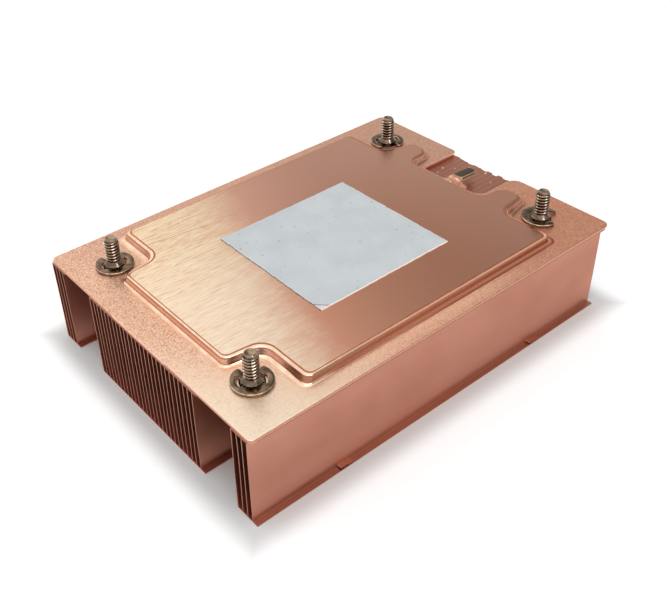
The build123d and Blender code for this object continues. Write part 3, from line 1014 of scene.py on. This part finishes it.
def turn_screw(number):
    """Turn one captive screw: recessed head below, shank, groove, skirt, thread and dished tip."""
    place = SCREWS[number]
    shell = Shell()
    profile = [
        (HEAD_RADIUS - HEAD_BEVEL, HEAD_BOTTOM),
        (HEAD_RADIUS - HEAD_BEVEL_MIDDLE, HEAD_BOTTOM + HEAD_BEVEL_MIDDLE),
        (HEAD_RADIUS, HEAD_BOTTOM + HEAD_BEVEL),
        (HEAD_RADIUS, HEAD_TOP - HEAD_EDGE),
        (HEAD_RADIUS - HEAD_EDGE, HEAD_TOP),
        (SHANK_RADIUS, HEAD_TOP),
        (SHANK_RADIUS, GROOVE_BOTTOM),
        (GROOVE_RADIUS, GROOVE_BOTTOM),
        (GROOVE_RADIUS, DECK + CLIP_THICKNESS),
        *((SKIRT_RADIUS - inward, SKIRT_BOTTOM + height) for inward, height in SKIRT_FLARE),
        (THREAD_RADIUS + SKIRT_BLEND, SKIRT_TOP - 2 * SKIRT_BLEND),
        (THREAD_RADIUS - SKIRT_BLEND, SKIRT_TOP),
    ]
    rows = [shell.row(circle(place, radius, z, SCREW_STEPS)) for radius, z in profile]
    levels = math.ceil((THREAD_TOP - SKIRT_TOP) / THREAD_PITCH * THREAD_ROWS)
    for level in range(1, levels + 1):
        z = SKIRT_TOP + (THREAD_TOP - SKIRT_TOP) * level / levels
        rows.append(shell.row([
            around(place, thread_radius(turn, z), turn, z) for turn in turns_of(SCREW_STEPS)
        ]))
    rows += [shell.row(circle(place, radius, TIP - depth, SCREW_STEPS)) for radius, depth in TIP_DISH]
    for below, above in zip(rows, rows[1:]):
        first_face = len(shell.faces)
        shell.strip(below, above)
        for number_of_face in range(first_face, len(shell.faces)):
            x, y, z = middle_of(shell, number_of_face)
            if z > SKIRT_TOP:
                shell.skins[number_of_face] = thread_skin(x - place.x, y - place.y, z)
    # The tip's end takes the crests' painted highlight.
    shell.face(rows[-1], skin=CREST)
    slot, reach = RECESS_HALF_SLOT, RECESS_REACH
    cross = [(slot, slot), (slot, reach), (-slot, reach)]
    for _ in range(3):
        cross += [(-y, x) for x, y in cross[-3:]]
    recess = [
        shell.row([(place.x + x * share, place.y + y * share, HEAD_BOTTOM + depth) for x, y in cross])
        for share, depth in RECESS_STEPS
    ]
    shell.join(recess[::-1])
    shell.sheet(rows[0], [recess[0]], up=False)
    shell.sheet(recess[-1], [], up=False)
    shell.make(
        f"threaded_screw_{number}", SCREW_FINISHES, 30.0,
        replaces=[f"screw_{number}"], body=f"screw_body_{number}",
    )


# The retaining clips, with the turn of each one's open mouth
CLIP_TURNS = {1: 59.0, 2: 75.0, 3: -58.0, 4: 238.0}
CLIP_RADIUS = 4.65
CLIP_TOOTH = 2.03
CLIP_RELIEF = 3.25
CLIP_MOUTH_HALF = 1.5
CLIP_FLARE_HALF = 2.5
CLIP_ARC_STEPS = 96
# One bevelled edge: how far its points lie in from the side and from the face
CLIP_EDGE = ((0.12, 0.0), (0.04, 0.05), (0.0, 0.12))
RELIEF_MIDDLE = math.radians(96)
RELIEF_HALF = math.radians(35)
RELIEF_SLOPE = math.radians(9)
TUCK = 0.55
TUCK_STEPS = 3
# The sides of a clip's section that take a painted highlight: the edges above and the reliefs' faces
HIGHLIT_SIDES = (3, 4, 6, 7, 8)
CLIP_FINISHES = [CLIP_STEEL, CLIP_PAINTED_HIGHLIGHT]
HIGHLIT = 1


def clip_inner(turn):
    """Give the clip's inner radius at a turn from its mouth: three teeth, with reliefs between them."""
    away = abs((turn + math.pi) % math.tau - math.pi)
    open_share = eased((RELIEF_HALF - abs(away - RELIEF_MIDDLE)) / RELIEF_SLOPE)
    return CLIP_TOOTH + (CLIP_RELIEF - CLIP_TOOTH) * open_share


def stamp_clip(number):
    """Stamp one open ring: its section is carried round from one side of the mouth to the other."""
    place = SCREWS[number]
    mouth = math.radians(CLIP_TURNS[number])
    half_gap = math.asin(CLIP_FLARE_HALF / CLIP_RADIUS)
    low, high = DECK, DECK + CLIP_THICKNESS
    shell = Shell()
    rows = []
    for step in range(CLIP_ARC_STEPS + 1):
        share = step / CLIP_ARC_STEPS
        turn = half_gap + (math.tau - 2 * half_gap) * share
        from_end = min(share, 1 - share) * CLIP_ARC_STEPS
        tuck = TUCK * max(0.0, 1 - from_end / TUCK_STEPS) ** 2
        outer = CLIP_RADIUS - tuck
        inner = clip_inner(turn) + tuck
        gap_turn = math.asin(min(1.0, CLIP_MOUTH_HALF / inner))
        edges = [(outer - side, low + face) for side, face in CLIP_EDGE]
        edges += [(outer - side, high - face) for side, face in CLIP_EDGE[::-1]]
        edges += [(inner + side, high - face) for side, face in CLIP_EDGE]
        edges += [(inner + side, low + face) for side, face in CLIP_EDGE[::-1]]
        section = []
        for radius, z in edges:
            along = (radius - inner) / (outer - inner)
            start = gap_turn + (half_gap - gap_turn) * along
            section.append(around(place, radius, mouth + start + (math.tau - 2 * start) * share, z))
        rows.append(shell.row(section))
    for first, second in zip(rows, rows[1:]):
        first_face = len(shell.faces)
        shell.strip(first, second)
        # The upper edges and the reliefs' faces take the painted highlight.
        for side in HIGHLIT_SIDES:
            shell.skins[first_face + side] = HIGHLIT
    shell.face(rows[0])
    shell.face(rows[-1][::-1])
    shell.make(
        f"open_clip_{number}", CLIP_FINISHES, 50.0,
        replaces=[f"retaining_clip_{number}"], body=f"clip_body_{number}",
    )


# The springs between the plate's underside and the screws' heads
SPRING_RADIUS = 3.4
WIRE_RADIUS = 0.38
SPRING_TURNS = 6.0
SPRING_STEPS = 20
WIRE_STEPS = 10
SPRING_CLOSING = 0.088


def wind_spring(number):
    """Wind one spring of round wire with closed ends."""
    place = SCREWS[number]
    low, high = HEAD_TOP + WIRE_RADIUS, UNDERSIDE - WIRE_RADIUS
    steps = int(SPRING_TURNS * SPRING_STEPS)
    shell = Shell()
    rows = []
    for step in range(steps + 1):
        share = step / steps
        turn = math.tau * SPRING_TURNS * share
        z = low + (high - low) * held(share - SPRING_CLOSING * math.sin(math.tau * share))
        row = []
        for wire in turns_of(WIRE_STEPS):
            radius = SPRING_RADIUS + WIRE_RADIUS * math.cos(wire)
            row.append(around(place, radius, turn, z + WIRE_RADIUS * math.sin(wire)))
        rows.append(shell.row(row))
    shell.join(rows)
    shell.face(rows[0])
    shell.face(rows[-1][::-1])
    spring = shell.make(
        f"coil_spring_{number}", [SPRING_STEEL], 60.0, replaces=[f"spring_{number}"])
    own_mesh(spring)


for number in SCREWS:
    turn_screw(number)
    stamp_clip(number)
    wind_spring(number)


# The fill tube, and the solder round its neck
TUBE_STEPS = 24
TUBE_RADIUS = 1.0
FLAT_HALF_WIDTH = 1.35
FLAT_HALF_HEIGHT = 0.95
PINCH_START = NOTCH_X - 0.1
PINCH_END = PINCH_START + 1.2
FLAT_TURN = -0.03
CRIMP = 0.1
CRIMP_WIDTH = 0.3
TUBE_ROUND = 0.7
TUBE_ROUND_UPWARD = 0.2
TUBE_SQUARING = 0.5
PINCH_STEPS = 6
TUBE_END = tube_high.x - 0.9


def draw_tube():
    """Draw the fill tube: round, then pinched flat and cut off."""
    shell = Shell()
    rows = []
    stations = [(tube_low.x, 0.0), (PINCH_START, 0.0)]
    for k in range(1, PINCH_STEPS + 1):
        stations.append((PINCH_START + (PINCH_END - PINCH_START) * k / PINCH_STEPS, k / PINCH_STEPS))
    for k in range(ROUND_STEPS + 1):
        stations.append((TUBE_END - TUBE_ROUND * math.cos(math.pi / 2 * k / ROUND_STEPS), 1.0))
    for x, pinch in stations:
        smooth = eased(pinch)
        into = max(0.0, x - TUBE_END + TUBE_ROUND)
        bite = TUBE_ROUND - math.sqrt(max(0.0, TUBE_ROUND ** 2 - into ** 2))
        half_width = TUBE_RADIUS + (FLAT_HALF_WIDTH - TUBE_RADIUS) * smooth - bite
        half_height = TUBE_RADIUS + (FLAT_HALF_HEIGHT - TUBE_RADIUS) * smooth - TUBE_ROUND_UPWARD * bite
        power = 1 - TUBE_SQUARING * smooth
        drift = FLAT_TURN * max(0.0, x - PINCH_START)
        row = []
        for turn in turns_of(TUBE_STEPS):
            across = math.copysign(abs(math.cos(turn)) ** power, math.cos(turn))
            upward = math.copysign(abs(math.sin(turn)) ** power, math.sin(turn))
            crimp = CRIMP * smooth * math.exp(-(math.sin(turn) / CRIMP_WIDTH) ** 2)
            y = TUBE_Y + drift + (half_width - crimp) * across
            row.append((x, y, TUBE_Z + FLAT_RISE * smooth + half_height * upward))
        rows.append(shell.row(row))
    shell.join(rows)
    shell.face(rows[0][::-1])
    shell.face(rows[-1])
    shell.make("pinched_tube", [TUBE], 45.0, replaces=["fill_tube"])


# The mound of solder over the tube
NECK_START = BAY_X - 0.3
NECK_END = NOTCH_X + TAB_REACH - 0.05
NECK_HALF_WIDTH = 3.3
NECK_RISE = 1.75
NECK_ROWS = 16
NECK_COLUMNS = 22
NECK_END_ROUND = 0.7
NECK_BOTTOM = DECK - 0.05
SOLDER_TOP = FIELD_TOP - 0.02
RIDGE_WIDTH = 1.9
RIDGE_DROP = 0.25
FILM_RISE = 0.3
LUMPS = 12
LUMP_ENDS = (NECK_START + 1, NECK_END - 0.4)
LUMP_SIDE = 2.6
LUMP_SIZES = (0.1, 0.22)
LUMP_SPREAD = 0.22

# The torn collar round the tube, swollen at its start and slanting toward its end
COLLAR_START = NOTCH_X - 1.2
COLLAR_END = NOTCH_X + 0.8
COLLAR_RISE = 0.9
COLLAR_STEPS = 10
COLLAR_WALL = 0.12
COLLAR_SWELL = 0.75
COLLAR_THINNING = 0.2
COLLAR_GRAIN = 0.04
COLLAR_SLANT_UP = 0.5
COLLAR_SLANT_BACK = 0.7
COLLAR_FIRST_SHARE = 0.35
COLLAR_OPENING = 2.2
COLLAR_WIDE = 1.15
COLLAR_FLAT = 0.92
COLLAR_BOTTOM = UNDERSIDE + 0.05


def mound_neck(shell, chance):
    """Mound lumpy solder over the tube where it leaves the field."""
    lumps = [
        (chance.uniform(*LUMP_ENDS), chance.uniform(-LUMP_SIDE, LUMP_SIDE), chance.uniform(*LUMP_SIZES))
        for _ in range(LUMPS)
    ]
    rows = []
    for i in range(NECK_ROWS + 1):
        x = NECK_START + (NECK_END - NECK_START) * i / NECK_ROWS
        round_over = math.sqrt(max(0.0, 1 - (1 - held((NECK_END - x) / NECK_END_ROUND)) ** 2))
        row = []
        for j in range(NECK_COLUMNS + 1):
            side = -NECK_HALF_WIDTH + 2 * NECK_HALF_WIDTH * j / NECK_COLUMNS
            rim = 1 - (side / NECK_HALF_WIDTH) ** 2
            ridge = math.exp(-(side / RIDGE_WIDTH) ** 2) * (1 - RIDGE_DROP * (1 - rim))
            z = NECK_BOTTOM + (NECK_RISE * ridge + FILM_RISE * rim) * round_over
            for lump_x, lump_y, size in lumps:
                spread = ((x - lump_x) ** 2 + (side - lump_y) ** 2) / LUMP_SPREAD
                z += size * math.exp(-spread) * rim * round_over
            row.append((x, TUBE_Y + side, min(z, SOLDER_TOP)))
        rows.append(shell.row(row))
    shell.join(rows[::-1], closed=False)


def wrap_collar(shell, chance):
    """Wrap the torn collar round the tube."""
    rows = []
    for i in range(COLLAR_STEPS + 1):
        share = i / COLLAR_STEPS
        x = COLLAR_START + (COLLAR_END - COLLAR_START) * share
        bulge = (COLLAR_SWELL - COLLAR_THINNING * share) * math.sqrt(math.sin(math.pi * (0.5 + share / 2)))
        opened = min(1.0, COLLAR_FIRST_SHARE + COLLAR_OPENING * share)
        row = []
        for turn in turns_of(TUBE_STEPS):
            slant = COLLAR_SLANT_UP * math.sin(turn) - COLLAR_SLANT_BACK * math.cos(turn)
            swollen = TUBE_RADIUS + COLLAR_WALL + bulge + chance.uniform(-COLLAR_GRAIN, COLLAR_GRAIN)
            y = TUBE_Y + swollen * opened * COLLAR_WIDE * math.cos(turn)
            z = TUBE_Z + COLLAR_RISE * share + swollen * opened * COLLAR_FLAT * math.sin(turn)
            row.append((x + slant * share, y, min(max(z, COLLAR_BOTTOM), SOLDER_TOP)))
        rows.append(shell.row(row))
    shell.join(rows)
    shell.face(rows[-1])


def solder_neck():
    """Solder the neck: the mound and the collar are one piece."""
    chance = random.Random("neck")
    shell = Shell()
    mound_neck(shell, chance)
    wrap_collar(shell, chance)
    shell.make("neck_solder", [SOLDER], 70.0)


# Beads of solder left on the fins in the notch: x, y and radius
BEADS = [
    (44.6, 6.9, 0.22), (47.4, 7.6, 0.3), (49.5, 5.2, 0.2),
    (52.9, 3.0, 0.26), (53.6, -2.2, 0.34), (50.8, -6.4, 0.24),
]
BEAD_STEPS = 10
BEAD_LEVELS = 4
BEAD_FLATNESS = 0.6
BEAD_SPREAD = 1.4


def drop_beads():
    """Drop small flat beads of solder on the fins."""
    shell = Shell()
    for x, y, radius in BEADS:
        rows = []
        for level in range(BEAD_LEVELS):
            lean = math.pi / 2 * level / BEAD_LEVELS
            z = UNDERSIDE - 0.02 + BEAD_FLATNESS * radius * math.sin(lean)
            ring = circle(Vector((x, y)), radius * math.cos(lean), z, BEAD_STEPS)
            rows.append(shell.row([(x + BEAD_SPREAD * (px - x), py, pz) for px, py, pz in ring]))
        shell.join(rows)
        shell.face(rows[-1])
    shell.make("notch_beads", [SOLDER], 60.0)


drop_beads()
draw_tube()
solder_neck()


# The thermal pad: cut by hand, with ragged edges and one torn corner
PAD_STEPS = 72
PAD_STRIP = 0.0042
PAD_RAGGED = 0.22
TORN_REACH = 3.2
TORN_RISE = 0.3
PAD_DROOP = 0.07
PAD_GRAIN = 0.015
PAD_FINISHES = [PAD, PAD_EDGE_SHADE, PAD_EDGE_HIGHLIGHT]
FACE, DARK, PALE = range(3)


def lay_pad():
    """Lay the pad as a grid with an upper and a lower face and ragged edges between them."""
    chance = random.Random("pad")
    shell = Shell()
    sides = [[chance.uniform(0, 1) for _ in range(PAD_STEPS + 1)] for _ in range(4)]

    def ragged(side, k):
        values = sides[side]
        near = values[max(0, k - 1)] + values[min(PAD_STEPS, k + 1)]
        return PAD_RAGGED * (0.5 * values[k] + 0.25 * near) ** 2

    inner = [PAD_STRIP + (1 - 2 * PAD_STRIP) * k / (PAD_STEPS - 2) for k in range(PAD_STEPS - 1)]
    shares = [0.0, *inner, 1.0]
    upper, lower = [], []
    for i in range(PAD_STEPS + 1):
        top_row, bottom_row = [], []
        for j in range(PAD_STEPS + 1):
            u, v = shares[i], shares[j]
            left = pad_low.x + ragged(0, j)
            right = pad_high.x - ragged(1, j)
            front = pad_low.y + ragged(2, i)
            back = pad_high.y - ragged(3, i)
            x, y = left + (right - left) * u, front + (back - front) * v
            edge = min(i, j, PAD_STEPS - i, PAD_STEPS - j)
            torn = held(TORN_REACH - (x - pad_low.x) - (y - pad_low.y))
            crumple = TORN_RISE * torn * chance.random() if edge else 0.0
            droop = 0.0 if edge else PAD_DROOP
            top_row.append((x, y, pad_high.z - droop - PAD_GRAIN * chance.random() + crumple))
            bottom_row.append((x, y, pad_low.z))
        upper.append(shell.row(top_row))
        lower.append(shell.row(bottom_row))
    # The top's outer strips and the sides along the front and the right take the painted highlight; the
    # sides at the left and the back take the painted shade.
    for first, second in zip(upper, upper[1:]):
        front_face = len(shell.faces)
        shell.strip(second, first, closed=False, skin=PALE if second is upper[-1] else FACE)
        shell.skins[front_face] = PALE
    shell.join(lower, closed=False)
    shell.strip(upper[0], lower[0], closed=False, skin=DARK)
    shell.strip(lower[-1], upper[-1], closed=False, skin=PALE)
    for side, skin in ((0, PALE), (-1, DARK)):
        over = [row[side] for row in upper]
        under = [row[side] for row in lower]
        shell.strip(*((under, over) if side == 0 else (over, under)), closed=False, skin=skin)
    shell.make("soft_pad", PAD_FINISHES, 60.0, replaces=["thermal_pad"])


lay_pad()

# What stays as the CAD has it takes a finish
for name in ("condenser_wick", "evaporator_wick", "support_posts"):
    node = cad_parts[name]
    node.data.materials.clear()
    node.data.materials.append(SINTERED)

# The floor and the studio
FLOOR_HALF = 3.0
FLOOR_ROUGHNESS = 0.9
FLOOR_SHINE = 0.1
FLOOR_FILL = 0.39
FILL_START = 0.001
FILL_FULL = 0.0078
PANEL_SIDE = (-0.846, 0.187, 0.5)
PANEL_EDGE = 0.07
DOME_DIM = 0.28
DOME_BRIGHT = 1.1


def lay_floor():
    """Lay the pale floor: its own faint glow starts a little way off, so that the shadow stays deep."""
    finish = Finish("studio_floor")
    paths = [finish.node("ShaderNodeLightPath", out=name) for name in (
        "Is Camera Ray", "Is Glossy Ray", "Is Transmission Ray")]
    seen = finish.node("ShaderNodeClamp", {}, {0: paths[0] + paths[1] + paths[2]})
    sides = (finish.size_of(finish.x) - HALF_LENGTH * MM, finish.size_of(finish.y) - HALF_WIDTH * MM)
    away = finish.node("ShaderNodeMath", {"operation": "MAXIMUM"}, dict(enumerate(sides)))
    glow = seen * finish.ramp(away, FILL_START, FILL_FULL, 0.0, FLOOR_FILL)
    base = finish.mix(finish.grain(30.0), tone(216, 217, 217), tone(219, 219, 219))
    finish.set(Base_Color=base, Roughness=FLOOR_ROUGHNESS, Specular_IOR_Level=FLOOR_SHINE)
    finish.set(Emission_Color=glow, Emission_Strength=1.0)
    mesh = bpy.data.meshes.new("studio_floor")
    corners = [(x * FLOOR_HALF, y * FLOOR_HALF, 0) for x, y in ((-1, -1), (1, -1), (1, 1), (-1, 1))]
    mesh.from_pydata(corners, [], [range(4)])
    mesh.materials.append(finish.material)
    floor = show("studio_floor", mesh)


def hang_lamp(name, place, target, size, strength):
    """Hang a soft square lamp that faces a point. Its strength is what a white card would show."""
    light = bpy.data.lights.new(name, "AREA")
    light.shape = "SQUARE"
    light.size = size
    light.energy = strength * math.pi * size * size
    lamp = show(name, light)
    lamp.location = place
    lamp.rotation_mode = "QUATERNION"
    lamp.rotation_quaternion = (Vector(target) - Vector(place)).to_track_quat("-Z", "Y")


def light_studio():
    """Light the studio: bright overhead and at the left, dim at the right, hazy low down, and two boxes."""
    middle = (0.0, 0.0, 0.02)
    hang_lamp("top_box", place=(-0.1, -0.1, 1.2), target=middle, size=0.63, strength=1.0)
    hang_lamp("front_box", place=(0.07, -0.76, 0.94), target=middle, size=0.22, strength=8.0)
    world = bpy.data.worlds.new("studio")
    bpy.context.scene.world = world
    world.use_nodes = True
    dome = Nodes(world.node_tree)
    direction = dome.node("ShaderNodeTexCoord", out="Generated")
    up = dome.node("ShaderNodeSeparateXYZ", {}, {0: direction}, out="Z")
    settings = {"operation": "DOT_PRODUCT"}
    side = dome.node("ShaderNodeVectorMath", settings, {0: direction, 1: PANEL_SIDE}, out=1)
    level = dome.ramp(side, -PANEL_EDGE, PANEL_EDGE, DOME_DIM, DOME_BRIGHT)
    horizon = dome.fade(up, 0.1, 0.26)
    haze = dome.ramp(up, 0.42, 0.56, 0.42, 0.0)
    strength = level + (haze + horizon * (1.0 - haze)) * (1.0 - level)
    back = world.node_tree.nodes["Background"]
    dome.feed(back.inputs["Color"], (1, 1, 1, 1))
    dome.feed(back.inputs["Strength"], strength)


# The camera, from the photograph's own perspective
PHOTO_WIDTH = 672
FOCAL_PIXELS = 920.8
SENSOR = 36.0
CAMERA_PLACE = (-0.1223, -0.1399, 0.1506)
CAMERA_AZIMUTH = math.radians(36.86)
CAMERA_DIP = math.radians(35.78)
CAMERA_ROLL = math.radians(2.97)
CAMERA_SHIFT = (0.0897, -0.0499)


def set_camera():
    """Set the camera where the photograph was taken."""
    data = bpy.data.cameras.new("camera")
    data.sensor_width = SENSOR
    data.lens = FOCAL_PIXELS * SENSOR / PHOTO_WIDTH
    data.shift_x, data.shift_y = CAMERA_SHIFT
    data.clip_start = 0.01
    camera = show("camera", data)
    level = math.cos(CAMERA_DIP)
    forward = Vector((
        math.sin(CAMERA_AZIMUTH) * level,
        math.cos(CAMERA_AZIMUTH) * level,
        -math.sin(CAMERA_DIP),
    ))
    camera.location = CAMERA_PLACE
    camera.rotation_mode = "QUATERNION"
    camera.rotation_quaternion = forward.to_track_quat("-Z", "Y") @ Quaternion((0, 0, 1), -CAMERA_ROLL)
    bpy.context.scene.camera = camera


lay_floor()
light_studio()
set_camera()
bpy.context.scene.view_settings.view_transform = "Standard"

bpy.context.view_layer.update()
